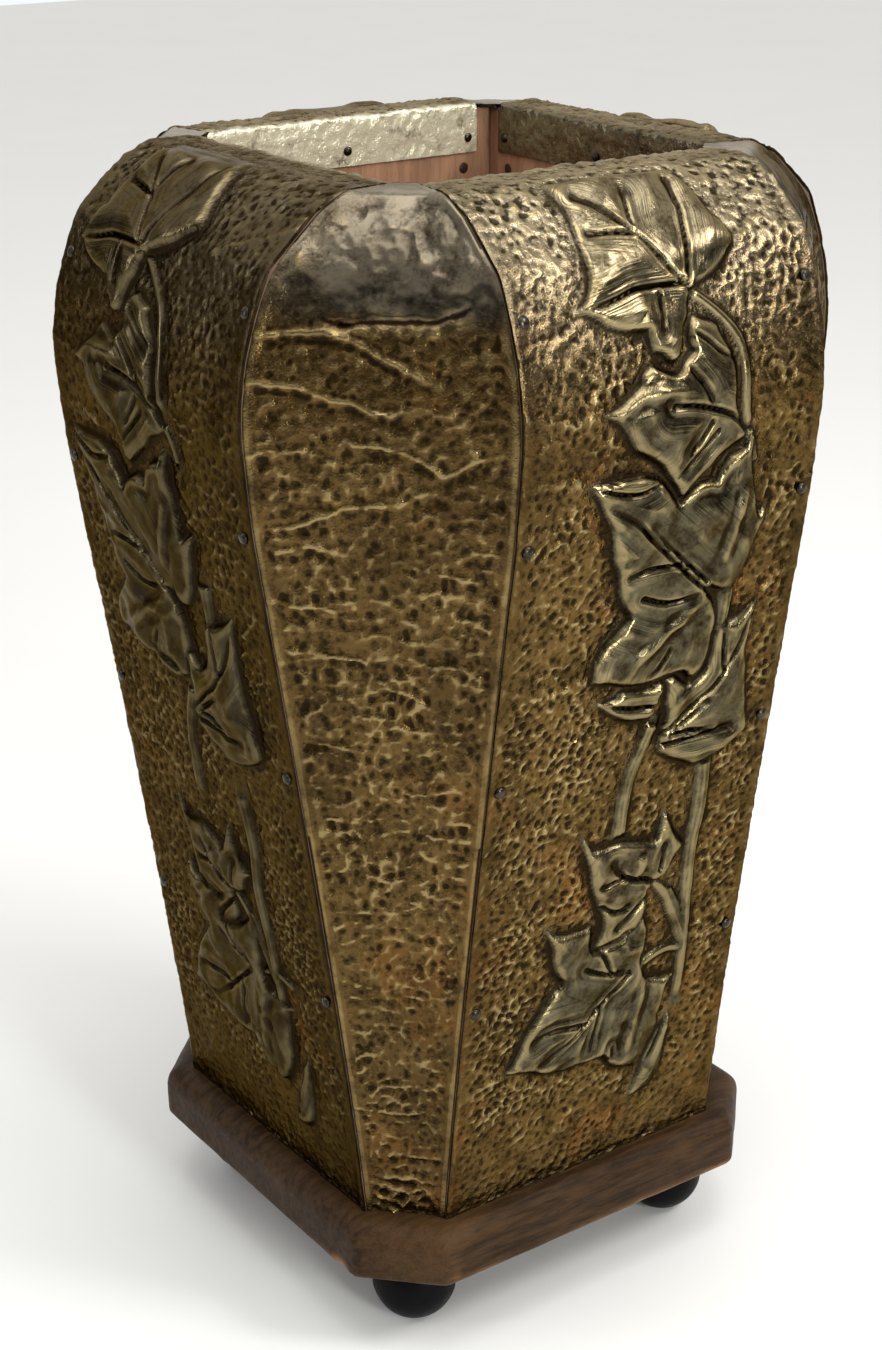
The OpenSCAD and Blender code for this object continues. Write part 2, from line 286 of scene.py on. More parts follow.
# ---- The leaf design, in millimetres ----
# Each point is (right of the centre line, along the sheet from the foot)
LEAVES = {
    "top": dict(
        level=3.2,
        edge=[(-38, 523), (-38.5, 514), (-38, 500), (-40, 487), (-41, 477), (-44, 467), (-51, 459),
              (-43, 455), (-37.5, 451), (-31, 448), (-24, 446.5), (-18.5, 445.5), (-16, 438),
              (-12, 435.5), (-6.5, 431.5), (-2.5, 433), (1, 438), (4, 446), (7, 451), (10.5, 460),
              (19.5, 464), (26, 466.5), (32, 470), (37, 474.5), (40.5, 478), (40, 484), (37, 491),
              (35, 500), (32.5, 509), (29.5, 517), (25, 522)],
        veins=[[(10, 460), (-0.5, 472), (-8, 483), (-15.5, 492.5), (-23, 502), (-31, 509)],
               [(-13, 487), (-33, 491)], [(-10, 492), (-7, 502), (-5, 508)], [(9.5, 464.5),
               (12, 477), (16, 489.5), (18.5, 496), (21, 511)], [(8, 463.5), (-5, 464.5),
               (-20, 464.5), (-30, 462), (-45, 459)], [(-8, 461), (-10, 446)]]),
    "upper": dict(
        level=2.7,
        edge=[(-42, 415), (-36, 418), (-30, 421.5), (-25, 425), (-22, 430), (-16.5, 433.5),
              (-8, 429.5), (-3, 429), (2.5, 434), (5, 436.5), (4, 441.5), (6, 447), (9, 450.5),
              (12.5, 450), (21.5, 446), (23.5, 441.5), (28.5, 433.5), (31, 427.5), (31.5, 421.5),
              (31.5, 408.5), (38, 396.5), (41, 394.5), (32, 390), (24.5, 386.5), (20, 381.5),
              (12.5, 377), (3, 370), (-2, 377.5), (-6.5, 382.5), (-11, 387.5), (-16.5, 391),
              (-24.5, 396), (-28.5, 401), (-33.5, 408.5)],
        veins=[[(-6.5, 414), (3.5, 413), (15, 410), (23.5, 407), (30, 403.5), (36, 398.5),
               (39, 395.5)], [(3.5, 428.5), (9, 422.5), (13.5, 416.5), (16.5, 410.5)],
               [(15.5, 404), (5.5, 391.5)], [(20, 399.5), (-1, 381.5)], [(9, 442.5), (15, 438.5),
               (20, 434), (29, 429)]],
        ridges=[[(-41, 415), (-35, 415), (-28, 419), (-22.5, 421), (-10, 420.5), (3.5, 417.5)]]),
    "middle": dict(
        level=3.0,
        edge=[(-48, 385.5), (-33, 386), (-23.5, 386), (-14.5, 384.5), (-7.5, 381), (2.5, 369),
              (7.5, 373.5), (15.5, 377), (23, 375.5), (27.5, 383), (31, 387), (38, 388.5),
              (42.5, 397.5), (43.5, 391.5), (44.5, 385), (46.5, 375), (48, 367), (50, 359.5),
              (52, 355.5), (57.5, 357.5), (56, 350.5), (53.5, 342.5), (51, 333), (47.5, 325),
              (42, 317.5), (36.5, 318.5), (26, 323), (34, 312), (36, 300), (34.5, 286),
              (31, 278.5), (23.5, 275.5), (18, 280.5), (5.5, 280), (-3.5, 279), (-12.5, 280),
              (-21, 283), (-28, 285.5), (-33.5, 286.5), (-34, 292), (-33.5, 299), (-30, 305.5),
              (-25.5, 309.5), (-18, 317), (-22.5, 324), (-25.5, 330.5), (-28, 339.5), (-32, 348.5),
              (-34.5, 360.5), (-40, 371.5)],
        veins=[[(24.5, 323), (12.5, 333), (3.5, 341.5), (-5.5, 349.5), (-14.5, 357.5),
               (-23.5, 366), (-37, 373.5)], [(24.5, 327), (14, 336), (5, 344), (-4, 352),
               (-13, 360)], [(-46, 384), (-37.5, 381), (-28, 378), (-19, 377.5), (-12.5, 379),
               (-7.5, 381)], [(-12.5, 326), (2.5, 320.5), (20, 321)], [(8, 338), (-12, 340),
               (-22, 338)], [(8, 296), (0, 284)]],
        ridges=[[(30, 333), (34.5, 347.5), (38, 364), (42, 373.5)], [(24.5, 318), (12.5, 310),
                (-1, 302), (-14.5, 293.5)], [(2.5, 369), (8, 372), (15.5, 375), (23.5, 374),
                (28, 381), (42, 389)]]),
    "right": dict(
        level=2.8,
        edge=[(37.5, 300.5), (42.5, 300.5), (49, 302.5), (55.5, 305.5), (62.5, 310.5), (61, 302.5),
              (60, 293.5), (59.5, 284.5), (61, 275.5), (62.5, 266.5), (64.5, 257.5), (67.5, 242.5),
              (66.5, 238), (62, 234.5), (55.5, 231.5), (45.5, 227.5), (35.5, 226.5), (30, 229),
              (22, 232.5), (16.5, 236.5), (12.5, 240), (11.5, 249.5), (13.5, 259), (12, 266.5),
              (10.5, 277), (10, 271), (4.5, 260), (0, 259.5), (-7.5, 260.5), (-14.5, 263),
              (-21, 267.5), (-29.5, 275.5), (-19, 275.5), (-13.5, 278.5), (-2, 276), (5.5, 277.5),
              (16.5, 280.5), (23.5, 274.5), (27.5, 275), (32, 279), (35, 286.5)],
        veins=[[(11.5, 249.5), (20, 254.5), (29, 262), (38, 268), (44.5, 275.5), (51, 284.5),
               (59.5, 302)], [(20, 251), (31, 257.5), (37, 261.5)], [(17.5, 248.5), (30, 247.5),
               (42, 244.5)], [(13.5, 244), (31, 243.5), (54.5, 243)], [(44.5, 275.5), (43, 290),
               (42, 298)], [(6, 266), (-8, 268), (-24, 273)]]),
    "lower": dict(
        level=2.5,
        edge=[(-27, 205), (-23.5, 201), (-19, 194.5), (-11, 194), (-2, 195), (4.5, 193.5),
              (17.5, 190), (20, 194), (24, 204.5), (27, 200), (32.5, 190.5), (37, 185),
              (41.5, 180.5), (36, 176), (32.5, 168.5), (27, 165), (21.5, 165), (18.5, 158.5),
              (20, 153), (19, 147), (14.5, 138.5), (8, 138.5), (4.5, 136.5), (-2, 135), (-10, 135),
              (-8.5, 144), (-9, 155), (-12, 159.5), (-15.5, 167), (-19, 177), (-22, 188.5)],
        veins=[[(21.5, 164.5), (16, 168.5), (9, 170.5), (2.5, 174), (-3, 178.5), (-6, 183.5)],
               [(18.5, 158.5), (10, 151.5), (2.5, 144)], [(-10, 160.5), (-3, 156), (7, 155)],
               [(24, 172), (26, 184)], [(2, 174), (-12, 172)]],
        ridges=[[(9, 172), (10, 186.5)]]),
    "foot": dict(
        level=2.7,
        edge=[(-41.5, 158), (-36.5, 153), (-28.5, 150.5), (-13, 150), (-11.5, 139.5), (-10, 134.5),
              (7, 137), (19, 147), (24, 137), (24, 126), (22.5, 118.5), (26, 108.5), (33.5, 105),
              (41.5, 103.5), (47.5, 103), (41, 99), (39, 82.5), (39, 72), (33, 58), (27, 51),
              (21.5, 53), (14.5, 55.5), (9, 59), (5.5, 63.5), (1.5, 66.5), (-5.5, 66),
              (-16.5, 65.5), (-25.5, 67), (-34.5, 69), (-41, 72.5), (-56.5, 77), (-53, 84),
              (-49, 93), (-45.5, 101.5), (-40, 109.5), (-28.5, 122), (-33, 128.5), (-36, 137),
              (-38, 146)],
        veins=[[(14, 114.5), (4.5, 106.5), (-1, 101.5), (-11, 93), (-22, 84), (-30, 78.5),
               (-36, 76)], [(-14, 125), (-6.5, 121), (4.5, 117), (13.5, 115)], [(-11, 93),
               (-30, 95), (-42, 92)], [(-1, 101.5), (-4, 86), (-6, 72)], [(8, 72), (10, 64)],
               [(2, 117), (-4, 130), (-8, 134)]],
        ridges=[[(21.5, 109.5), (22.5, 99.5), (20, 87), (17, 70.5), (16, 63)]]),
    "blade": dict(
        level=2.0,
        edge=[(46, 80), (41, 72), (36, 62), (32, 52), (29, 42), (26, 32), (32, 33), (40, 35),
              (45, 42), (47, 55), (47.5, 70)],
        veins=[[(45, 78), (38, 60), (33, 50)]]),
}
# Each stem: its line, its width at each end and its height
STEMS = [
    ([(10.5, 460), (15, 457), (26, 447.5), (33.5, 437.5), (36.5, 425), (37, 408), (39, 396)],
     2.6, 5, 2.2),
    ([(39, 396), (43, 390), (46, 380)], 4, 3, 1.8),
    ([(40, 319), (40.5, 308), (39.5, 296)], 9, 7, 2.4),
    ([(44, 228), (46, 200), (44, 177), (46, 150), (49, 118), (50, 84)], 9, 4.5, 2.4),
    ([(8, 256), (3.5, 245.5), (0, 236.5), (-2.5, 225), (-4, 196)], 6, 7, 2.2),
    ([(21.5, 165), (27, 159.5), (32.5, 153), (38, 143), (43.5, 133), (49, 120)], 3, 7, 2.3),
    ([(33.5, 157), (40, 146), (48, 130.5)], 2, 4, 1.8),
    ([(5, 107), (16, 113), (24.5, 116), (32.5, 119), (40, 119.5), (51, 116.5)], 3, 4, 2.0),
]
# Soft folds of the sheet from the leaf tips to the panel's edges
FOLDS = [
    [(-51, 459), (-62, 452), (-83, 449)], [(40, 478), (58, 486), (83, 500)],
    [(-42, 415), (-60, 414), (-83, 420)], [(57, 357), (68, 366), (83, 371)],
    [(-48, 385), (-64, 390), (-83, 388)], [(62, 310), (72, 318), (83, 320)],
    [(67, 243), (76, 240), (83, 236)], [(-34, 290), (-58, 286), (-83, 294)],
    [(-56, 77), (-70, 74), (-83, 68)], [(27, 51), (20, 30), (18, 8)],
    [(-27, 205), (-50, 214), (-83, 212)],
]
# How far each leaf sits from the front's place on the other panels, which were all chased by eye
DRIFT = {
    "front": {},
    "left": dict(top=(-19, 8), upper=(-18, 2), middle=(-26, -8), right=(-8, 6),
                 lower=(-15, -12), foot=(-1, -3), blade=(4, -5)),
    "back": dict(top=(-6, 2), upper=(-8, 4), middle=(-10, -3), right=(-4, 2),
                 lower=(-6, 5), foot=(2, 4), blade=(3, 2)),
    "right": dict(top=(-3, -4), upper=(-2, -5), middle=(-5, 4), right=(2, -4),
                  lower=(3, 4), foot=(-3, -5), blade=(2, 4)),
}
# The leaf that each stem drifts with
STEM_LEAF = ["top", "upper", "right", "lower", "right", "lower", "lower", "foot"]
# How far round a leaf its distances are worked out
LEAF_REACH = 25
PANEL_SEED = dict(front=11, left=23, back=37, right=53)
# Painted shade on the outside of each panel, darkest on the shaded left side, and painted shade on
# the fold inside the opening
SIDE_SHADE = dict(front=0.14, left=0.78, back=0.35, right=0.28)
FOLD_SHADE = dict(front=0.5, left=0.4, back=0.0, right=0.85)


def leaf_height(u, s, leaf, shift, d, seed):
    """Height of one leaf over the ground, and the distance to its nearest vein.

    Its edge is now crisp, now soft, and it has swollen lobes, sunk veins and raised ridges.
    d is the distance inside its outline.
    """
    veins = [line_distance(u, s, rounded(v) + shift) for v in leaf["veins"]]
    nearest = np.minimum.reduce([v[0] for v in veins])
    lobe = 1 - np.exp(-np.maximum(np.minimum(d, nearest), 0) / 6.5)
    rise = 3.2 + 1.8 * fractal(u, s, 14, seed)
    height = smooth((d + 0.6) / rise) * (leaf["level"] - 0.7)
    height += smooth((d + 0.6) / 4) * (3.3 * lobe + 1.9 * fractal(u, s, 18, seed + 1, 2))
    ripple = value_noise(nearest / 4.2 + 9, (u + s) / 36 + 9, seed + 5)
    height += 0.55 * smooth(d / 5) * ripple
    for away, along in veins:
        fade = smooth((1 - along) / 0.35)
        height += fade * (0.7 * bell(away - 2.0, 1.2) - bell(away, 0.9))
    for ridge in leaf.get("ridges", []):
        away, along = line_distance(u, s, rounded(ridge) + shift)
        fade = smooth(along / 0.2) * smooth((1 - along) / 0.2)
        height += fade * (1.3 * bell(away, 2.6) - 0.5 * bell(away - 5, 1.8))
    return height * smooth((d + 0.6) / 1.8), nearest


def ridged(x, y, size, seed):
    """A thin network of ridges from 0 to 1."""
    return (1 - np.abs(fractal(x, y, size, seed, 2))) ** 5


def hammered(u, s, size, seed):
    """Overlapping hollows of uneven size, from 0 at their rims down to -1."""
    pit, luck, _ = cells(u, s, size, seed, 0.95)
    radius = size * (0.36 + 0.34 * luck)
    bowl = np.clip(1 - (pit / radius) ** 2, 0, 1)
    return -bowl * (0.45 + 0.55 * luck)


def netted(u, s, size, seed):
    """Punched hollows with a raised net of thin ridges between them, from -1 to 1."""
    pit, luck, gap = cells(u, s, size, seed, 0.9)
    bowl = np.clip(1 - (pit / (size * 0.46)) ** 2, 0, 1)
    return 0.7 * bell(gap, size * 0.2) - bowl * (0.3 + 0.7 * luck)


def side_relief(u, s, name):
    """Height, leaf mask, distance outside the leaves and vein distance over one side panel."""
    seed = PANEL_SEED[name]
    drift = DRIFT[name]
    warp_u = u + 2.0 * fractal(u, s, 13, seed + 1)
    warp_s = s + 2.0 * fractal(u, s, 13, seed + 2)
    raised = np.zeros(u.shape)
    vein = np.zeros(u.shape)
    outside = np.full(u.shape, 30.0)
    for k, (key, leaf) in enumerate(LEAVES.items()):
        shift = np.array(drift.get(key, (0, 0)), float)
        outline = rounded(leaf["edge"], closed=True) + shift
        low_u, low_s = outline.min(0) - LEAF_REACH
        high_u, high_s = outline.max(0) + LEAF_REACH
        near = (u > low_u) & (u < high_u) & (s > low_s) & (s < high_s)
        d = inside_distance(u[near], s[near], outline)
        rise, nearest = leaf_height(u[near], s[near], leaf, shift, d, seed + 30 + k)
        vein[near] = np.where(d > 0, nearest + 12 * k, vein[near])
        raised[near] = np.maximum(raised[near], rise)
        outside[near] = np.minimum(outside[near], -d)
    for (line, w0, w1, tall), key in zip(STEMS, STEM_LEAF):
        path = rounded(line) + np.array(drift.get(key, (0, 0)), float)
        away, along = line_distance(u, s, path)
        half = (w0 + (w1 - w0) * along) / 2 + 0.9
        ends = smooth(along / 0.04 + 0.2) * smooth((1 - along) / 0.08 + 0.1)
        tube = tall * np.clip(1 - (away / half) ** 2, 0, 1) ** 0.75 * ends
        raised = np.maximum(raised, tube - 0.35 * bell(away - half * 0.3, 0.7) * (tube > 1))
        outside = np.minimum(outside, away - half)
    # The punched and hammered ground, calmer along the edges and at the foot
    leaf_mask = smooth(0.6 - outside / 1.6)
    ground = smooth(outside / 3.0)
    edge = PANEL_HALF - np.abs(u)
    rim = smooth((s - 512) / 12)
    lively = smooth((fractal(u, s, 48, seed + 4) + 0.45) / 0.7)
    slant = 0.8 * warp_u + 0.6 * warp_s
    steep = 0.8 * warp_s - 0.6 * warp_u
    tight = 1 - smooth((s - 270) / 130)
    net = (1 - tight) * netted(warp_u, warp_s, 6.2, seed + 3)
    net += tight * netted(warp_u, warp_s, 4.7, seed + 3)
    vivid = np.clip(0.6 + 0.8 * fractal(u, s, 19, seed + 12), 0.2, 1.2)
    calm = ground * (0.35 + 0.65 * smooth((edge - 2) / 7)) * (0.45 + 0.55 * smooth((s - 12) / 50))
    height = 0.30 + calm * (0.45 + 0.55 * lively) * vivid * net
    height += 0.5 * smooth((s - 385) / 25)
    pits = hammered(warp_u + 40, warp_s, 4.0, seed + 7)
    height += 0.85 * calm * pits * (0.75 + 0.25 * tight)
    dimples = hammered(warp_u + 90, warp_s, 6.5, seed + 17)
    height += 1.2 * ground * dimples * smooth((s - 495) / 14)
    streaks = ridged(slant * 0.5, steep, 8, seed + 9)
    height += 0.6 * calm * streaks * (0.35 + 0.65 * tight)
    # The ground driven down round the leaves, the folds, the leaves themselves and broad waves
    height -= 0.35 * bell(outside - 2, 3.0) * (1 - leaf_mask)
    for k, fold in enumerate(FOLDS):
        away, along = line_distance(warp_u, warp_s, rounded(fold, steps=4))
        side = 1.0 if k % 3 else -0.8
        height += 1.1 * side * ground * bell(away, 2.6) * (1 - 0.6 * along)
    height += raised
    height += (0.55 + 0.35 * rim) * fractal(u, s, 27, seed + 5, 2) * smooth(edge / 8)
    height += 0.14 * fractal(u, s, 5, seed + 6, 2)
    slack = 0.5 + 0.5 * fractal(u * 0, s, 40, seed + 8)
    height += 0.7 * slack * (1 - smooth(edge / 6))
    height -= 0.4 * (1 - smooth(edge / 1.4))
    quiet = 1 - 0.75 * smooth((s - 515) / 11) * smooth(raised / 1.5)
    return np.maximum(height * quiet, -0.85), leaf_mask, np.maximum(outside, 0), vein


# Wrinkles of a corner strip: (share of the half width, along the strip), and how strong they are.
# A share counts as that part of WRINKLE_HALF when distances to a wrinkle are measured.
WRINKLE_HALF = 40
WRINKLES = [
    ([(-0.55, 457), (-0.3, 453.5), (0.1, 455), (0.4, 456), (0.65, 461), (0.8, 468)], -1.3),
    ([(-1, 449), (-0.6, 451), (-0.25, 447), (0.1, 437), (0.5, 426)], 1.3),
    ([(-1, 430), (-0.6, 427), (-0.36, 422), (0.03, 418), (0.4, 420)], 1.2),
    ([(-0.3, 405), (0.15, 400), (0.45, 392), (0.7, 398), (1, 400)], 1.1),
    ([(-1, 396), (-0.6, 399), (-0.3, 394)], 0.8),
    ([(-0.85, 363), (-0.45, 370), (-0.05, 378), (0.2, 378), (0.45, 386)], 1.1),
    ([(-0.9, 352), (-0.6, 356), (-0.25, 354)], 0.9),
    ([(0.2, 352), (0.6, 344), (1, 347)], 0.7),
    ([(-1, 331), (-0.5, 326), (-0.1, 330)], 0.9),
    ([(-1, 300), (-0.4, 304), (0, 298)], 0.7),
    ([(-0.9, 262), (-0.2, 257)], 0.7),
    ([(0.1, 238), (0.9, 244)], 0.5),
    ([(-1, 62), (-0.2, 57), (0.6, 63)], 1.0),
    ([(-0.9, 20), (0, 16), (0.9, 19)], -0.8),
]


def corner_relief(w, half, s, seed, as_listed):
    """Height of a corner strip, hollow across with smooth lips, dimples and wrinkles, and where its
    top carries a painted grey sheen. The other strips have their wrinkles moved and turned about."""
    edge = half - np.abs(w)
    share = np.clip(w / np.maximum(half, 1), -1, 1)
    height = -1.7 * (1 - share**2) * smooth(half / 30)
    height += 0.5 * bell(edge - 2.2, 2.0)
    warp_w = w + 2.2 * fractal(w, s, 15, seed + 1)
    warp_s = s + 2.2 * fractal(w, s, 15, seed + 2)
    across = share * WRINKLE_HALF
    wavy = 1.3 * warp_s - 0.3 * s
    inner = smooth((edge - 3.0) / 3.5)
    low_part = 1 - smooth((s - 300) / 60)
    high_part = smooth((s - 448) / 18)
    strength = inner * (0.60 + 0.40 * low_part - 0.42 * high_part)
    vivid = np.clip(0.5 + 0.9 * fractal(w, s, 24, seed + 11), 0.12, 1.1)
    worked = inner * (1 - 0.75 * high_part)
    height += 0.7 * strength * vivid * netted(warp_w, warp_s, 6.6, seed + 3)
    height += 0.65 * worked * hammered(warp_w + 60, warp_s, 4.6, seed + 4)
    height += 0.6 * worked * hammered(warp_w + 90, warp_s, 7.5, seed + 14)
    ripple = ridged(warp_w * 0.4, warp_s, 10, seed + 5)
    height += 0.9 * worked * ripple * (0.4 + 0.6 * low_part)
    lumps = 0.9 * fractal(w, s, 12, seed + 15, 2) + 0.6 * ridged(w, s, 24, seed + 18)
    height += high_part * inner * lumps
    uneven = 0.75 + 0.5 * fractal(w, s, 9, seed + 16, 2)
    rng = np.random.default_rng(seed + 9)
    turn = 1 if as_listed else -1
    for line, depth in WRINKLES:
        jump = 0 if as_listed else rng.uniform(-9, 9)
        path = rounded([(turn * t * WRINKLE_HALF, z + jump) for t, z in line])
        away, along = line_distance(across, wavy, path)
        above = wavy - np.interp(turn * across, turn * path[:, 0], path[:, 1])
        fade = smooth(along / 0.15 + 0.25) * smooth((1 - along) / 0.3)
        height += 1.15 * depth * fade * uneven * bell(away, 1.15)
        height -= 0.6 * depth * fade * bell(above + 4.0, 3.0) * (away < 12)
    height += 1.1 * fractal(w, s, 30, seed + 6, 2) * smooth(edge / 12)
    height += 0.12 * fractal(w, s, 5, seed + 7, 2)
    # The painted sheen lies more to one side of the top, brown towards the other edge
    sheen_side = 1.0 + 0.7 * turn * share + 0.9 * fractal(w, s, 20, seed + 19)
    return np.clip(height, -4.0, 1.6), high_part * smooth(sheen_side)


# ---- Sheet outlines ----
def profile_points():
    """The body's outline as [half width, height above the base plate]."""
    steps = np.arange(0, 19) / 18
    flare = [(FOOT_HALF + (FLARE_HALF - FOOT_HALF) * t**FLARE_POWER, FLARE_H * t) for t in steps]
    shoulder = [(FLARE_HALF + 3.6, 0.801), (FLARE_HALF + 3.5, 0.829), (FLARE_HALF + 0.7, 0.870),
                (FLARE_HALF - 5.3, 0.908), (FLARE_HALF - 12.7, 0.944), (FLARE_HALF - 35.9, 0.9866)]
    return np.array(flare + [(x, z * BODY_H) for x, z in shoulder])


def inward(points, amount):
    """The run moved to its inner side by amount."""
    slope = unit(np.gradient(points, axis=0))
    return points + amount * np.stack([-slope[:, 1], slope[:, 0]], 1)


def eased(points, step, spread, crisp_from=None):
    """Even samples along a run with its corners eased by spread, and by CRISP past crisp_from:
    places, outward normals and run lengths."""
    fine = 0.25
    run = run_lengths(points)
    reach = int(4 * spread / fine)
    at = np.arange(-reach, int(run[-1] / fine) + reach + 1) * fine
    dense = sampled(at, run, points)
    first = (points[1] - points[0]) / run[1]
    last = (points[-1] - points[-2]) / (run[-1] - run[-2])
    dense += np.minimum(at, 0)[:, None] * first + np.maximum(at - run[-1], 0)[:, None] * last
    made = []
    for width in (spread, CRISP):
        taps = bell_taps(reach, width / fine)
        made.append(np.stack([np.convolve(dense[:, k], taps, "same") for k in (0, 1)], 1))
    share = 0 if crisp_from is None else smooth((at - crisp_from) / 16)[:, None]
    soft = made[0] * (1 - share) + made[1] * share
    slope = unit(np.gradient(soft, axis=0))
    s = np.linspace(0, run[-1], int(round(run[-1] / step)) + 1)
    tangent = sampled(s, at, slope)
    normal = np.stack([tangent[:, 1], -tangent[:, 0]], 1)
    return sampled(s, at, soft), unit(normal), s


def in_world(across, out, up, facing):
    """Places in metres from millimetres across, outward and up from the base plate."""
    o = np.array(facing[0], float) / math.hypot(*facing[0])
    r = np.array(facing[1], float) / math.hypot(*facing[1])
    x = across * r[0] + out * o[0]
    y = across * r[1] + out * o[1]
    return np.stack([x, y, up + PLATE_TOP], -1) * MM


# ---- Mesh building ----
def finish_piece(obj, body, nodes):
    """Puts a piece in the scene, on its body and the nodes it replaces."""
    bpy.context.scene.collection.objects.link(obj)
    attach(obj, body)
    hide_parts(*nodes)
    return obj


def new_mesh(name, verts, faces, material, sharp=70, **fields):
    """An object from points and faces, shaded smooth but for edges sharper than sharp degrees."""
    mesh = bpy.data.meshes.new(name)
    mesh.from_pydata(verts.tolist(), [], faces)
    for key, values in fields.items():
        attribute = mesh.attributes.new(key, "FLOAT", "POINT")
        attribute.data.foreach_set("value", np.asarray(values, np.float32).ravel())
    mesh.polygons.foreach_set("use_smooth", [True] * len(mesh.polygons))
    mesh.set_sharp_from_angle(angle=math.radians(sharp))
    mesh.materials.append(material)
    mesh.validate()
    mesh.update()
    return bpy.data.objects.new(name, mesh)


def ring_faces(rows, count, start=0):
    """Quads between closed rings of count points, and n-gon ends."""
    base = start + np.arange(rows - 1)[:, None] * count
    k = np.arange(count)[None, :]
    j = (k + 1) % count
    quads = np.stack([base + k, base + j, base + j + count, base + k + count], -1)
    low = list(range(start, start + count))
    high = [v + (rows - 1) * count for v in low]
    return quads.reshape(-1, 4).tolist() + [low[::-1], high]


def ring_object(name, rings, material, sharp=60, **fields):
    """An object from a list of rings, in millimetres."""
    verts = np.concatenate(rings) * MM
    return new_mesh(name, verts, ring_faces(len(rings), len(rings[0])), material, sharp, **fields)


def lifted(across, place, normal, height):
    """(across, out, up) of points that stand height off the places along a run."""
    return np.stack([across, place[:, :1] + normal[:, :1] * height,
                     place[:, 1:] + normal[:, 1:] * height], -1)


def crest_of(height):
    """How far each point stands above its surroundings, from -1 to 1."""
    return np.clip((height - blurred(height, CREST_BLUR)) / CREST_DEPTH, -1, 1)


def sheet_object(name, rings, facing, material, **looks):
    """A brass sheet from closed rings across it. The outer face comes first in each ring and
    carries the looks. The rest of the ring has none, and its crest is set low, as painted shade
    on the sheet's back and cut edges."""
    rows, count = rings.shape[:2]
    verts = in_world(rings[..., 0], rings[..., 1], rings[..., 2], facing).reshape(-1, 3)
    fields = {}
    for key, values in looks.items():
        pad = np.zeros((rows, count - values.shape[1]))
        fields[key] = np.hstack([values, pad + SHADED_UNDERSIDE if key == "crest" else pad])
    return new_mesh(name + "_sheet", verts, ring_faces(rows, count), material, **fields)


def side_panel(name, material):
    """An embossed side panel, folded over the rim and down into the opening."""
    seed = PANEL_SEED[name]
    swell = profile_points()
    rim = [(FOOT_HALF, BODY_H), (OPENING_HALF, BODY_H), (OPENING_HALF, BODY_H - FOLD_H)]
    crease = run_lengths(np.vstack([swell, rim[:1]]))[-1]
    place, normal, s = eased(np.vstack([swell, rim]), GRID, SIDE_EASE, crease - 22)
    taper = np.clip((s - crease) / (FOOT_HALF - OPENING_HALF), 0, 1)
    half = PANEL_HALF + (FOLD_HALF - PANEL_HALF) * taper
    t = np.linspace(-1, 1, int(2 * PANEL_HALF / GRID) + 1)
    u = half[:, None] * t
    run = s[:, None] + 0 * u
    height, leaf, outside, vein = side_relief(u, run, name)
    fold = smooth((s - crease + 4) / 6)[:, None]
    folded_down = smooth((s - s[-1] + FOLD_H) / 3)[:, None]
    height = height * (1 - 0.3 * fold) * (1 - 0.55 * folded_down)
    ragged = 0.35 * fractal(s, s * 0, 12, seed + 20) * (s < crease)
    cut = u + ragged[:, None] * np.sign(t) * smooth((np.abs(t) - 0.97) / 0.03)
    behind = place - normal * SHEET
    back = [np.column_stack([side * half, behind])[:, None] for side in (1, -1)]
    rings = np.concatenate([lifted(cut, place, normal, height)] + back, 1)
    patchy = smooth(0.6 + 0.9 * fractal(u, run, 15, seed + 22))
    crest = crest_of(height) * (1 - 0.75 * bell(outside, 4.5) * (1 - leaf) * patchy)
    crest = np.where(run < FOOT_EDGE, 1.0, crest)
    inside = smooth((taper[:, None] - 0.6) / 0.4)
    # Random stains, and darker towards the panel's side edges
    stained = 0.22 * fractal(u, run, 55, seed + 21)
    stained += 0.34 * (1 - smooth((PANEL_HALF - np.abs(u)) / 30))
    # Painted shade by panel side outside and on the fold inside, with the stains on the ground
    dull = (SIDE_SHADE[name] + stained * (1 - leaf)) * (1 - inside) + FOLD_SHADE[name] * inside
    obj = sheet_object("side_panel_" + name, rings, SIDES[name], material, dull=dull, leaf=leaf,
                       crest=crest, near=np.exp(-outside / 5), vein=vein, level=run / s[-1])
    return finish_piece(obj, "stand", ["side_panel_" + name])


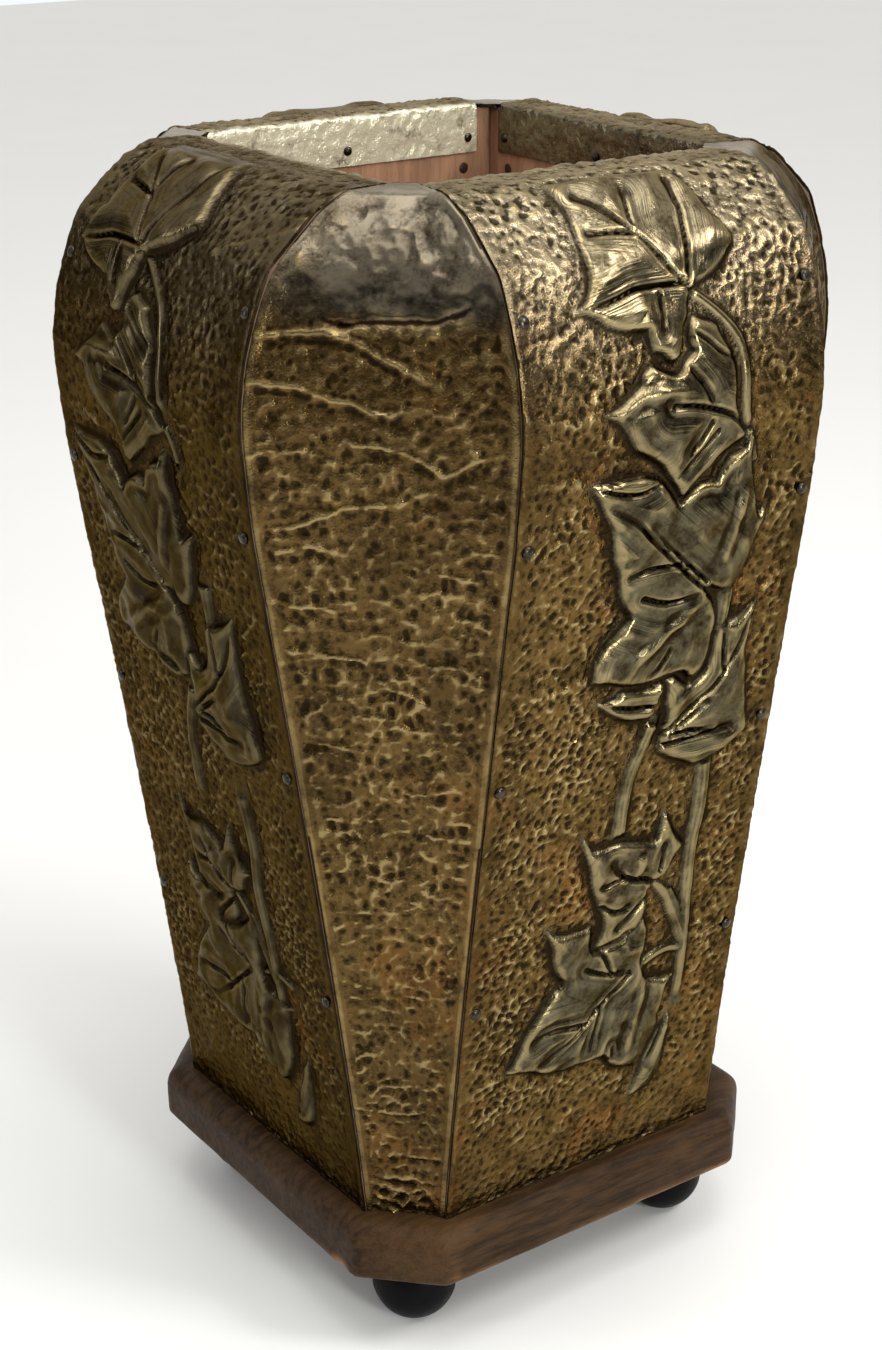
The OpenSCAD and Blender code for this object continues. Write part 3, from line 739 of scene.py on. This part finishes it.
def corner_panel(name, material, seed):
    """A hammered corner strip between two side panels, with its edges turned in behind them."""
    swell = np.vstack([inward(profile_points(), RECESS), [(FOOT_HALF, BODY_H)]])
    tip = ((OPENING_HALF + FOLD_HALF) / ROOT2, BODY_H)
    tip_half = (OPENING_HALF - FOLD_HALF) / ROOT2 - SEAM
    band = np.vstack([np.stack([(swell[:, 0] + PANEL_HALF) / ROOT2, swell[:, 1]], 1), [tip]])
    widths = np.append((swell[:, 0] - PANEL_HALF) / ROOT2 - SEAM, tip_half)
    own = run_lengths(band)
    crease = own[-2]
    place, normal, s = eased(band, GRID * 1.1, CORNER_EASE, crease - 22)
    half = np.interp(s, own, widths)[:, None]
    w = half * np.linspace(-1, 1, CORNER_COLUMNS)
    run = s[:, None] + 0 * w
    height, grey_sheen = corner_relief(w, half + 0 * w, run, seed, name == "front_left")
    rim = smooth((s - crease + 6) / 8)[:, None]
    height = height * (1 - 0.55 * rim)
    front = lifted(w, place, normal, height)
    turn = FLANGE / ROOT2 * (1 - rim[:, 0] * 0.6)
    ends = []
    for side, edge in ((1, front[:, -1]), (-1, front[:, 0])):
        end = edge + np.stack([-side * turn, -turn, 0 * turn], -1)
        inner = end + np.array([-side, 1, 0]) * SHEET / ROOT2
        ends.append([end[:, None], inner[:, None]])
    under = blurred(height, 6)[:, ::-9] - 1.9
    behind = lifted(w[:, ::-9] * 0.94, place, normal, under)
    rings = np.concatenate([front] + ends[0] + [behind] + ends[1][::-1], 1)
    border = half - np.abs(w)
    crest = crest_of(height)
    crest = np.where(crest < 0, 0.8 * crest, 1.2 * crest)
    # Painted highlight: a narrow lip along the strip's edges, below its top, is brightened as if
    # catching the light
    crest = np.where((border < 3.0) & (run < 440), np.maximum(crest, 0.45), crest)
    crest = np.where(run < FOOT_EDGE, 1.0, crest)
    # Painted shadow: the strip's very edge is set dark as the shade line at the seam
    crest = np.where(border < 0.9, SHADED_UNDERSIDE, crest)
    dull = 0.3 + 0.45 * fractal(w, run, 30, seed + 17)
    obj = sheet_object("corner_panel_" + name, rings, CORNERS[name], material, dull=dull, leaf=grey_sheen,
                       crest=crest, near=0 * w, vein=0 * w, level=run / s[-1])
    return finish_piece(obj, "stand", ["corner_panel_" + name])


def outline_ring(half, corner):
    """An octagon's outline as even points with eased corners, and their run lengths."""
    turn = [(half, corner), (corner, half), (-corner, half), (-half, corner),
            (-half, -corner), (-corner, -half), (corner, -half), (half, -corner)]
    p = np.array(turn + turn[:1], float)
    run = run_lengths(p)
    at = np.arange(PLATE_POINTS) / PLATE_POINTS * run[-1]
    ring = sampled(at, run, p)
    return sum(w * np.roll(ring, k - 5, 0) for k, w in enumerate(bell_taps(5, PLATE_EASE))), at


def base_plate(material):
    """The octagonal plate, by (inset, height) from its underside up, with dents, chips and wear."""
    side_top = PLATE_TOP - PLATE_ROUND
    levels = [(24, PLATE_LOW), (8, PLATE_LOW), (2.2, PLATE_LOW)]
    levels += [(0.9, PLATE_LOW + 0.5), (0.2, PLATE_LOW + 1.6)]
    levels += [(0, z) for z in np.linspace(PLATE_LOW + 3, side_top, 9)]
    for a in np.radians(np.arange(8, 91, 8.2)):
        levels.append((PLATE_ROUND * (1 - math.cos(a)), side_top + PLATE_ROUND * math.sin(a)))
    levels += [(d, PLATE_TOP) for d in (12.5, 14.5, 17, 22, 32)]
    rings = []
    wear = []
    for inset, z in levels:
        ring, at = outline_ring(PLATE_HALF - inset, PLATE_CORNER - inset * TAN_22)
        zs = np.full(len(at), float(z))
        dent = 0.35 * fractal(at, zs, 30, 301) + 0.12 * fractal(at, zs * 3, 7, 302, 2)
        chip, luck, _ = cells(at, zs * 0.7, 26, 303, 1.0)
        low_edge = bell(z - PLATE_LOW, 5)
        chip_in = np.clip(1 - chip / (4 + 5 * luck), 0, 1) * (luck > 0.55)
        push = dent * (inset < 20) - (1.6 * low_edge + 0.25) * chip_in
        place = ring + unit(ring) * push[:, None]
        rings.append(np.column_stack([place, zs - 0.25 * dent * (z > side_top)]))
        rubbed = smooth(0.2 + 1.1 * fractal(at, zs * 0, 45, 304, 2))
        wear.append(np.clip(chip_in * low_edge * 1.5 + bell(z - PLATE_LOW, 2.4) * rubbed, 0, 1))
    obj = ring_object("base_plate_moulded", rings, material, wear=np.concatenate(wear))
    return finish_piece(obj, "stand", ["base_plate"])


def turned(profile, segments, wobble, seed):
    """Rings of a lathe-turned shape, a little out of round, from [radius, height] points."""
    angle = np.arange(segments) / segments * 2 * math.pi
    circle = np.column_stack([np.cos(angle), np.sin(angle)])
    rings = []
    for r, z in profile:
        swing = 1 + wobble * value_noise(circle[:, 0] * 2 + 9, circle[:, 1] * 2 + z / 9 + 9, seed)
        rings.append(np.column_stack([r * swing[:, None] * circle, np.full(segments, z)]))
    return rings


def ball_foot(name, material, seed):
    """A turned ball with two grooves, a neck and a tenon."""
    low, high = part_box("foot_" + name)
    middle = (low + high) / 2
    radius = (high.x - low.x) / 2 / MM
    centre_z = radius - 0.8
    start = math.asin(-centre_z / radius)
    flat = radius * math.cos(start)
    profile = [(0.5 * flat, 0), (0.9 * flat, 0)]
    for a in np.linspace(start, math.radians(58), 34):
        grooves = 0.35 * bell(math.degrees(a), 1.8) + 0.3 * bell(math.degrees(a) - 46, 2)
        r = radius - grooves
        profile.append((r * math.cos(a), centre_z + r * math.sin(a)))
    neck = [(10.4, 39.4), (9.6, 40.2), (9.4, 41.2), (10.3, 42.2), (10.4, PLATE_LOW - 0.05)]
    tenon = [(7.2, PLATE_LOW), (7.0, PLATE_LOW + 13.4), (6.2, PLATE_LOW + 14)]
    rings = turned(profile + neck + tenon, 56, 0.008, seed)
    rings = [ring + [middle.x / MM, middle.y / MM, 0] for ring in rings]
    obj = ring_object("foot_%s_turned" % name, rings, material)
    return finish_piece(obj, "stand", ["foot_" + name])


def nail_rings(head_r, head_h, shank_r, length, rng):
    """A hand-struck domed nail: head above zero, shank below."""
    squash = rng.uniform(0.92, 1.05)
    profile = [(shank_r * 0.3, -length), (shank_r, -length + 2), (shank_r, -0.3)]
    profile.append((head_r * 0.9, -0.25))
    for a in np.radians([2, 14, 28, 42, 56, 70, 82]):
        profile.append((head_r * math.cos(a), head_h * squash * math.sin(a) + 0.05))
    return turned(profile, 18, 0.05, int(rng.integers(1, 60)))


def nail_group(name, places, sizes, material, seed):
    """One mesh of nails at (place, outward normal) pairs, in metres."""
    rng = np.random.default_rng(seed)
    verts = []
    faces = []
    for place, normal in places:
        rings = nail_rings(*sizes, rng)
        points = np.concatenate(rings)
        lean = Vector(normal) + Vector(rng.uniform(-0.07, 0.07, 3).tolist())
        turn = np.array(Vector((0, 0, 1)).rotation_difference(lean.normalized()).to_matrix())
        faces += ring_faces(len(rings), len(rings[0]), len(points) * len(verts))
        verts.append(points * MM @ turn.T + np.array(place))
    obj = new_mesh(name + "_heads", np.concatenate(verts), faces, material, sharp=60)
    return finish_piece(obj, "stand", [name])


def nail_place(facing, across, out, up):
    """One place in metres."""
    return in_world(np.array(across), np.array(out), np.array(up), facing)


def panel_places(facing):
    """The places and outward normals of the nails along both edges of a side panel."""
    place, normal, _ = eased(profile_points(), 0.5, SIDE_EASE)
    (ox, oy), _ = facing
    made = []
    for x in (-78, 78):
        for z in np.array([0.24, 0.48, 0.715, 0.908]) * BODY_H:
            k = int(np.argmin(np.abs(place[:, 1] - z)))
            out, up = normal[k]
            spot = nail_place(facing, x, place[k, 0] + NAIL_LIFT * out, place[k, 1])
            made.append((spot, (ox * out, oy * out, up)))
    return made


def add_nails(head, iron):
    edges = []
    folds = []
    boards = []
    for facing in SIDES.values():
        into = (-facing[0][0], -facing[0][1], 0)
        edges += panel_places(facing)
        for x in (-74, 0, 74):
            folds.append((nail_place(facing, x, OPENING_HALF - 0.2, BODY_H - 16.5), into))
        for x in (-72, 72):
            for z in np.array([0.1, 0.38, 0.66, 0.936]) * BODY_H:
                boards.append((nail_place(facing, x, OPENING_HALF + SHEET - 0.1, z), into))
    # Sizes: head radius, head height, shank radius, length
    nail_group("panel_nails", edges, (3.0, 1.8, 0.9, 16), head, 401)
    nail_group("rim_nails", folds, (2.4, 1.3, 0.8, 7.5), head, 402)
    nail_group("rib_nails", boards, (2.8, 0.6, 1.1, 20), iron, 403)


def wall_board(side, material, seed):
    """A sawn board with eased, slightly wavy faces, in the box of its CAD node."""
    name = "wall_board_" + side
    low, high = (np.array(v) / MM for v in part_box(name))
    size = high - low
    corners = [(low[0], low[1]), (high[0], low[1]), (high[0], high[1]), (low[0], high[1])]
    corners = np.array(corners)
    loop = []
    for a, b in zip(corners, np.roll(corners, -1, 0)):
        length = np.hypot(*(b - a))
        inner = np.linspace(BOARD_BEVEL * 2, length - BOARD_BEVEL * 2,
                            max(int(length / BOARD_STEP), 2))
        along = [BOARD_BEVEL, *inner, length - BOARD_BEVEL]
        loop += [a + (b - a) / length * t for t in along]
    loop = np.array(loop)
    centre = (low[:2] + high[:2]) / 2
    rows = [0, 0.4, *np.linspace(1, size[2] - 1, int(size[2] / BOARD_STEP)), size[2] - 0.4, size[2]]
    on_face = np.abs(np.abs(loop - centre) - size[:2] / 2) < 0.01
    out = np.sign(loop - centre) * on_face
    rings = []
    for z in rows:
        shrink = 1 - smooth(min(z, size[2] - z))
        zs = np.full(len(loop), z * 0.25)
        wave = 0.12 * fractal(loop[:, 0] + loop[:, 1], zs, 14, seed)
        ring = loop - out * (0.12 + 0.6 * shrink + wave[:, None])
        rings.append(np.column_stack([ring, np.full(len(loop), low[2] + z)]))
    obj = ring_object(name + "_sawn", rings, material, sharp=40)
    return finish_piece(obj, "stand", [name])


def rounded_square(half, radius):
    """Points round a square with round corners."""
    straight = 14
    flat = half - radius
    points = []
    for k, (sx, sy) in enumerate([(1, 1), (-1, 1), (-1, -1), (1, -1)]):
        for a in np.radians(90 * k + np.linspace(0, 90, 10)):
            points.append((sx * flat + radius * math.cos(a), sy * flat + radius * math.sin(a)))
        last = np.array(points[-1])
        turn = math.radians(90 * k + 90)
        step = np.array([-math.sin(turn), math.cos(turn)]) * 2 * flat / straight
        points += [tuple(last + step * (i + 1)) for i in range(straight - 1)]
    return np.array(points)


def drip_tray(material):
    """A pressed tray with a rolled bead along its rim: underside and outside, then inside."""
    low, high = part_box("drip_tray")
    half = 81.0
    corner = 12
    base = low.z / MM
    top = high.z / MM
    bead = 2.0
    bead_z = top - bead
    middle = half - 0.5
    profile = [(half - 40, base + 1.2), (half - 12, base + 1.0), (half - 6, base + 0.2),
               (half - 3, base), (half - 1.2, base + 0.6), (half - 0.2, base + 2.2),
               (half, base + 5)]
    profile += [(half, z) for z in np.linspace(base + 8, bead_z - 3, 6)]
    for a in np.radians(np.arange(-70, 251, 20)):
        profile.append((middle + bead * math.cos(a), bead_z + bead * math.sin(a)))
    profile += [(half - 1, z) for z in np.linspace(bead_z - 3, base + 8, 6)]
    profile += [(half - 1.2, base + 4), (half - 2.4, base + 2), (half - 5, base + 1.1),
                (half - 9, base + 1.6), (half - 14, base + 2.2), (half - 42, base + 2.4)]
    rings = []
    for size, z in profile:
        ring = rounded_square(size, max(corner - (half - size), 3))
        wave = 0.25 * np.abs(fractal(ring[:, 0] + 300, ring[:, 1] + z * 2, 40, 501))
        wall = base + 6 < z < bead_z - 2
        place = ring - unit(ring) * wave[:, None] * wall
        rings.append(np.column_stack([place, np.full(len(ring), z)]))
    obj = ring_object("drip_tray_pressed", rings, material)
    return finish_piece(obj, "drip_tray", ["drip_tray"])


# ---- Materials ----
DEEP_BROWN = (0.014, 0.008, 0.003)


class Graph:
    """Adds nodes to one node tree."""

    def __init__(self, tree, coordinates):
        self.nodes = tree.nodes
        self.links = tree.links
        self.place = self.nodes.new("ShaderNodeTexCoord").outputs[coordinates]

    def put(self, target, value):
        if isinstance(value, bpy.types.NodeSocket):
            self.links.new(value, target)
        else:
            is_color = isinstance(value, tuple) and len(value) == 3
            target.default_value = (*value, 1) if is_color else value

    def field(self, name):
        node = self.nodes.new("ShaderNodeAttribute")
        node.attribute_name = name
        return node.outputs["Fac"]

    def stretched(self, scale):
        node = self.nodes.new("ShaderNodeMapping")
        self.put(node.inputs["Vector"], self.place)
        node.inputs["Scale"].default_value = scale
        return node.outputs["Vector"]

    def joined(self, x, y):
        node = self.nodes.new("ShaderNodeCombineXYZ")
        self.put(node.inputs[0], x)
        self.put(node.inputs[1], y)
        return node.outputs[0]

    def noise(self, scale, detail=4, rough=0.55, vector=None):
        node = self.nodes.new("ShaderNodeTexNoise")
        self.put(node.inputs["Vector"], vector or self.place)
        node.inputs["Scale"].default_value = scale
        node.inputs["Detail"].default_value = detail
        node.inputs["Roughness"].default_value = rough
        return node.outputs["Fac"]

    def voronoi(self, scale):
        node = self.nodes.new("ShaderNodeTexVoronoi")
        self.put(node.inputs["Vector"], self.place)
        node.inputs["Scale"].default_value = scale
        return node.outputs["Distance"]

    def range(self, value, low, high, to_low=0.0, to_high=1.0):
        node = self.nodes.new("ShaderNodeMapRange")
        node.interpolation_type = "SMOOTHSTEP"
        keys = ("Value", "From Min", "From Max", "To Min", "To Max")
        for key, amount in zip(keys, (value, low, high, to_low, to_high)):
            self.put(node.inputs[key], amount)
        return node.outputs["Result"]

    def math(self, kind, a, b):
        node = self.nodes.new("ShaderNodeMath")
        node.operation = kind
        self.put(node.inputs[0], a)
        self.put(node.inputs[1], b)
        return node.outputs[0]

    def times(self, a, b):
        return self.math("MULTIPLY", a, b)

    def plus(self, a, b):
        return self.math("ADD", a, b)

    def mix(self, a, b, share):
        node = self.nodes.new("ShaderNodeMix")
        node.data_type = "RGBA"
        self.put(node.inputs["Factor"], share)
        self.put(node.inputs[6], a)
        self.put(node.inputs[7], b)
        return node.outputs[2]

    def bump(self, height, distance, strength=1.0, below=None):
        node = self.nodes.new("ShaderNodeBump")
        node.inputs["Strength"].default_value = strength
        node.inputs["Distance"].default_value = distance
        self.put(node.inputs["Height"], height)
        if below is not None:
            self.put(node.inputs["Normal"], below)
        return node.outputs["Normal"]


class Paint(Graph):
    """Builds one material's nodes."""

    def __init__(self, name):
        self.material = bpy.data.materials.new(name)
        self.material.use_nodes = True
        super().__init__(self.material.node_tree, "Object")
        self.shader = self.nodes["Principled BSDF"]

    def done(self, color, roughness, normal=None, metallic=0.0, fixed=None):
        """The finished material. fixed holds sockets that are the same all over the surface."""
        self.put(self.shader.inputs["Base Color"], color)
        self.put(self.shader.inputs["Roughness"], roughness)
        self.put(self.shader.inputs["Metallic"], metallic)
        if normal is not None:
            self.put(self.shader.inputs["Normal"], normal)
        for key, value in (fixed or {}).items():
            self.shader.inputs[key].default_value = value
        return self.material


def old_brass(name, ground, leaf_low, leaf_lit_high, bright, spot, top, sheen_from, fold):
    """Old brass under a thin lacquer: brown ground, smoother leaves and sheen, dark patina and
    painted shade in the hollows, and polished crests. leaf_low and leaf_lit_high colour the leaves,
    painted lighter higher up, and on the corner strips the painted grey sheen; top is a painted
    sheen on the ground near the rim from sheen_from up, and fold a painted reflection inside the
    opening."""
    p = Paint(name)
    leaf = p.field("leaf")
    crest = p.field("crest")
    near = p.field("near")
    level = p.field("level")
    dull = p.field("dull")
    patches = p.noise(17, 4, 0.65)
    clouds = p.noise(70, 5, 0.7)
    grain = p.noise(480, 4, 0.75)
    # The ground and the leaves, the leaves painted lighter higher up as if lit from above, with
    # warmer spots, a painted paler sheen near the top and grey beside the leaves
    # Painted light: the leaves go from leaf_low to the lighter leaf_lit_high towards the top
    color = p.mix(ground, p.mix(leaf_low, leaf_lit_high, p.range(level, 0.66, 0.84)), leaf)
    share = p.times(p.range(patches, 0.54, 0.66, 0, 0.7), p.range(leaf, 0, 1, 1, 0.1))
    color = p.mix(color, spot, share)
    # Painted sheen: the ground paler towards the rim, standing in for the reflection of the bright
    # overhead
    share = p.times(p.range(level, sheen_from, 0.93, 0, 0.76), p.range(leaf, 0, 1, 1, 0.4))
    color = p.mix(color, top, share)
    share = p.times(p.range(near, 0.5, 1.0, 0, 0.3), p.range(clouds, 0.4, 0.6))
    color = p.mix(color, (0.15, 0.135, 0.085), share)
    # Tarnish clouds, painted shade by panel side mixed with stains, dark patina and painted shade
    # in the hollows and on the sheets' backs, and polish on the crests
    stain = p.plus(p.times(clouds, 0.65), p.times(grain, 0.35))
    color = p.mix(color, DEEP_BROWN, p.range(stain, 0.55, 0.36, 0, 0.75))
    color = p.mix(color, DEEP_BROWN, p.range(dull, 0.0, 1.0, 0, 0.75))
    hollow = p.range(p.plus(crest, p.times(grain, 0.5)), 0.24, -0.28, 0, 0.92)
    color = p.mix(color, DEEP_BROWN, hollow)
    polish = p.range(p.plus(crest, p.times(clouds, 0.9)), 0.6, 1.3, 0, 0.7)
    polish = p.times(polish, p.range(leaf, 0, 1, 1, 0.65))
    color = p.mix(color, bright, p.times(polish, p.range(dull, 0.1, 0.9, 1, 0.35)))
    # Brush marks along the veins of the leaves
    marks = p.joined(p.times(p.field("vein"), 1.1), p.times(level, 14))
    streak = p.noise(1.0, 3, 0.6, marks)
    color = p.mix(color, DEEP_BROWN, p.times(leaf, p.range(streak, 0.5, 0.3, 0, 0.5)))
    # Painted light on the fold inside the opening: a pale colour, also less metallic, for its
    # reflection of the bright overhead, held back by the painted fold shade
    inside = p.times(p.range(level, 0.945, 0.965), p.range(dull, 0.1, 0.8, 1, 0.1))
    color = p.mix(color, fold, p.times(inside, p.range(stain, 0.36, 0.5, 0.3, 1)))
    rough = p.plus(p.range(grain, 0.3, 0.7, 0.13, 0.27), p.times(hollow, 0.2))
    rough = p.times(rough, p.range(leaf, 0, 1, 1, 0.8))
    off_leaf = p.times(p.math("SUBTRACT", 1.0, leaf), p.range(near, 0.1, 0.8, -0.25, -1.2))
    dots = p.times(p.range(p.voronoi(560), 0.05, 0.5, 1, 0), off_leaf)
    normal = p.bump(dots, 0.0005, 0.8)
    pitting = p.times(p.noise(230, 6, 0.75), p.range(leaf, 0, 1, 1, 0.35))
    normal = p.bump(pitting, 0.0009, 0.45, normal)
    normal = p.bump(p.times(streak, leaf), 0.0006, 0.5, normal)
    lacquer = {"Coat Weight": 0.04, "Coat Roughness": 0.1, "Specular Tint": (0.60, 0.53, 0.43, 1)}
    return p.done(color, rough, normal, p.range(inside, 0.0, 1.0, 1.0, 0.45), lacquer)


def stained_wood():
    p = Paint("stained_plate_wood")
    wear = p.field("wear")
    grain = p.noise(30, 6, 0.7, p.stretched((1.0, 9.0, 9.0)))
    pores = p.noise(220, 4, 0.8, p.stretched((0.6, 5.0, 5.0)))
    blotch = p.noise(14, 4, 0.6)
    dark = (0.018, 0.009, 0.0035)
    light = (0.050, 0.026, 0.011)
    color = p.mix(dark, light, p.range(grain, 0.35, 0.65))
    color = p.mix(color, (0.085, 0.045, 0.017), p.range(blotch, 0.5, 0.75, 0, 0.55))
    color = p.mix(color, (0.012, 0.007, 0.004), p.range(pores, 0.5, 0.34, 0, 0.6))
    bare = p.times(wear, p.range(pores, 0.35, 0.6, 0.3, 1))
    color = p.mix(color, (0.34, 0.17, 0.075), bare)
    rough = p.range(pores, 0.3, 0.7, 0.36, 0.58)
    normal = p.bump(pores, 0.0004, 0.5)
    normal = p.bump(p.noise(120, 5, 0.7), 0.0006, 0.4, normal)
    return p.done(color, rough, normal, fixed={"Specular IOR Level": 0.08})


def sawn_wood(name, light, dark):
    """Wood whose grain runs up the stand."""
    p = Paint(name)
    grain = p.noise(22, 6, 0.65, p.stretched((9.0, 9.0, 1.0)))
    fibre = p.noise(170, 5, 0.75, p.stretched((9.0, 9.0, 0.6)))
    color = p.mix(dark, light, p.range(grain, 0.33, 0.66))
    color = p.mix(color, (0.09, 0.045, 0.022), p.range(fibre, 0.46, 0.3, 0, 0.6))
    color = p.mix(color, (0.12, 0.085, 0.06), p.range(p.noise(9, 3), 0.5, 0.75, 0, 0.35))
    normal = p.bump(fibre, 0.0005, 0.6)
    return p.done(color, p.range(fibre, 0.3, 0.7, 0.55, 0.8), normal)


def black_wood():
    p = Paint("black_foot_wood")
    scuff = p.noise(90, 5, 0.7)
    scuffed = p.range(scuff, 0.56, 0.75, 0, 0.8)
    color = p.mix((0.003, 0.003, 0.0033), (0.014, 0.010, 0.008), scuffed)
    normal = p.bump(p.noise(160, 4, 0.6, p.stretched((1, 1, 5))), 0.0003, 0.4)
    rough = p.range(scuff, 0.3, 0.7, 0.32, 0.55)
    return p.done(color, rough, normal, fixed={"Specular IOR Level": 0.06})


def metal(name, base, dark, low_rough, high_rough):
    """Spotted metal, rougher and less metallic where it is dark."""
    p = Paint(name)
    spots = p.noise(300, 5, 0.7)
    color = p.mix(dark, base, p.range(spots, 0.36, 0.6))
    normal = p.bump(spots, 0.0002, 0.5)
    rough = p.range(spots, 0.3, 0.7, high_rough, low_rough)
    return p.done(color, rough, normal, p.range(spots, 0.3, 0.45, 0.6, 1))


def zinc():
    p = Paint("zinc_tray_sheet")
    bloom = p.voronoi(55)
    stain = p.noise(28, 5, 0.65)
    color = p.mix((0.30, 0.31, 0.32), (0.48, 0.49, 0.50), p.range(bloom, 0.15, 0.6))
    color = p.mix(color, (0.13, 0.10, 0.075), p.range(stain, 0.54, 0.72, 0, 0.7))
    normal = p.bump(p.noise(200, 4), 0.0003, 0.4)
    rough = p.range(stain, 0.3, 0.7, 0.34, 0.62)
    return p.done(color, rough, normal, p.range(stain, 0.5, 0.75, 1.0, 0.4))


def pale_floor():
    p = Paint("pale_floor")
    color = (0.78, 0.78, 0.77)
    return p.done(p.mix(color, tuple(0.96 * c for c in color), p.noise(4, 2)), 0.7)


# ---- Studio ----
def add_floor():
    corners = [(-1, -1, 0), (1, -1, 0), (1, 1, 0), (-1, 1, 0)]
    floor = new_mesh("studio_floor", 6.0 * np.array(corners), [[0, 1, 2, 3]], pale_floor())
    bpy.context.scene.collection.objects.link(floor)


def add_light(name, place, aim, size, power, color=(1, 1, 1)):
    data = bpy.data.lights.new(name, "AREA")
    data.shape = "RECTANGLE"
    data.size, data.size_y = size
    data.energy = power
    data.color = color
    lamp = bpy.data.objects.new(name, data)
    look = (Vector(aim) - Vector(place)).to_track_quat("-Z", "Y")
    lamp.matrix_world = Matrix.Translation(Vector(place)) @ look.to_matrix().to_4x4()
    bpy.context.scene.collection.objects.link(lamp)


def add_world():
    """A pale surround, bright overhead and behind the object and dim on the viewer's side."""
    world = bpy.data.worlds.new("studio")
    world.use_nodes = True
    g = Graph(world.node_tree, "Generated")
    split = g.nodes.new("ShaderNodeSeparateXYZ")
    g.put(split.inputs[0], g.place)
    x, y, z = split.outputs
    behind = g.plus(g.times(x, 0.75), g.times(y, 0.66))
    wall = g.times(g.range(behind, 0.1, 0.8), g.range(z, -0.02, 0.1))
    light = g.plus(g.range(z, 0.1, 0.8, 0.12, 1.22), g.times(wall, 0.75))
    lit = g.mix((0, 0, 0), (1.0, 0.99, 0.97), light)
    seen = g.nodes.new("ShaderNodeLightPath").outputs["Is Camera Ray"]
    shade = g.nodes["Background"]
    g.put(shade.inputs["Color"], g.mix(lit, (0.93, 0.98, 1.0), seen))
    shade.inputs["Strength"].default_value = 1.0
    bpy.context.scene.world = world


def add_studio():
    add_floor()
    add_world()
    middle = (0, 0, 0.3)
    add_light("key_softbox", (1.0, -1.5, 2.0), middle, (0.6, 0.6), 26, (1, 0.98, 0.95))
    add_light("top_softbox", (-0.2, -0.4, 2.4), middle, (1.4, 1.4), 20)
    add_light("front_softbox", (-0.1, -2.1, 0.85), middle, (0.35, 0.7), 24, (0.96, 1, 0.97))
    add_light("left_softbox", (-1.7, 0.6, 0.85), middle, (0.3, 0.8), 5, (0.95, 0.98, 1))
    bpy.context.scene.view_settings.view_transform = "Standard"


# ---- Assembly ----
def dress_cad_nodes(materials):
    """Gives the CAD nodes whose shape stays a finished material."""
    for name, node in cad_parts.items():
        for start, material in materials.items():
            if name.startswith(start):
                node.data.materials.clear()
                node.data.materials.append(material)


def main():
    # leaf_lit_high, top and fold paint light into the side panels' brass
    side = old_brass(
        "old_brass_side", ground=(0.130, 0.078, 0.025), leaf_low=(0.068, 0.056, 0.031),
        leaf_lit_high=(0.165, 0.128, 0.068), bright=(0.42, 0.33, 0.16), spot=(0.18, 0.080, 0.022),
        top=(0.50, 0.43, 0.29), sheen_from=0.70, fold=(0.74, 0.68, 0.50))
    # Painted grey sheen on the corner strips' tops, a reflection of the bright overhead; their top
    # and fold colours below are painted light too
    grey_sheen = (0.160, 0.135, 0.096)
    corner = old_brass(
        "old_brass_corner", ground=(0.125, 0.076, 0.025), leaf_low=grey_sheen, leaf_lit_high=grey_sheen,
        bright=(0.36, 0.27, 0.12), spot=(0.15, 0.072, 0.020), top=(0.135, 0.120, 0.090),
        sheen_from=0.84, fold=(0.20, 0.17, 0.12))
    pine = sawn_wood("box_board_wood", (0.42, 0.22, 0.12), (0.27, 0.13, 0.07))
    rough_pine = sawn_wood("rough_rib_wood", (0.10, 0.060, 0.035), (0.05, 0.028, 0.016))
    iron = metal("rusty_iron", (0.10, 0.085, 0.075), (0.075, 0.032, 0.015), 0.42, 0.75)
    head = metal("dull_nail_heads", (0.060, 0.052, 0.040), (0.020, 0.015, 0.011), 0.22, 0.42)
    stained = stained_wood()
    black = black_wood()
    dress_cad_nodes({"rib_": rough_pine, "rim_rail": rough_pine, "box_nails": iron,
                     "corner_tacks": iron, "base_screws": iron, "rib_nails": iron})
    for name in SIDES:
        side_panel(name, side)
        wall_board(name, pine, PANEL_SEED[name] + 600)
    for k, name in enumerate(CORNERS):
        corner_panel(name, corner, 71 + 13 * k)
        ball_foot(name, black, 31 + k)
    base_plate(stained)
    add_nails(head, iron)
    drip_tray(zinc())
    add_studio()


main()
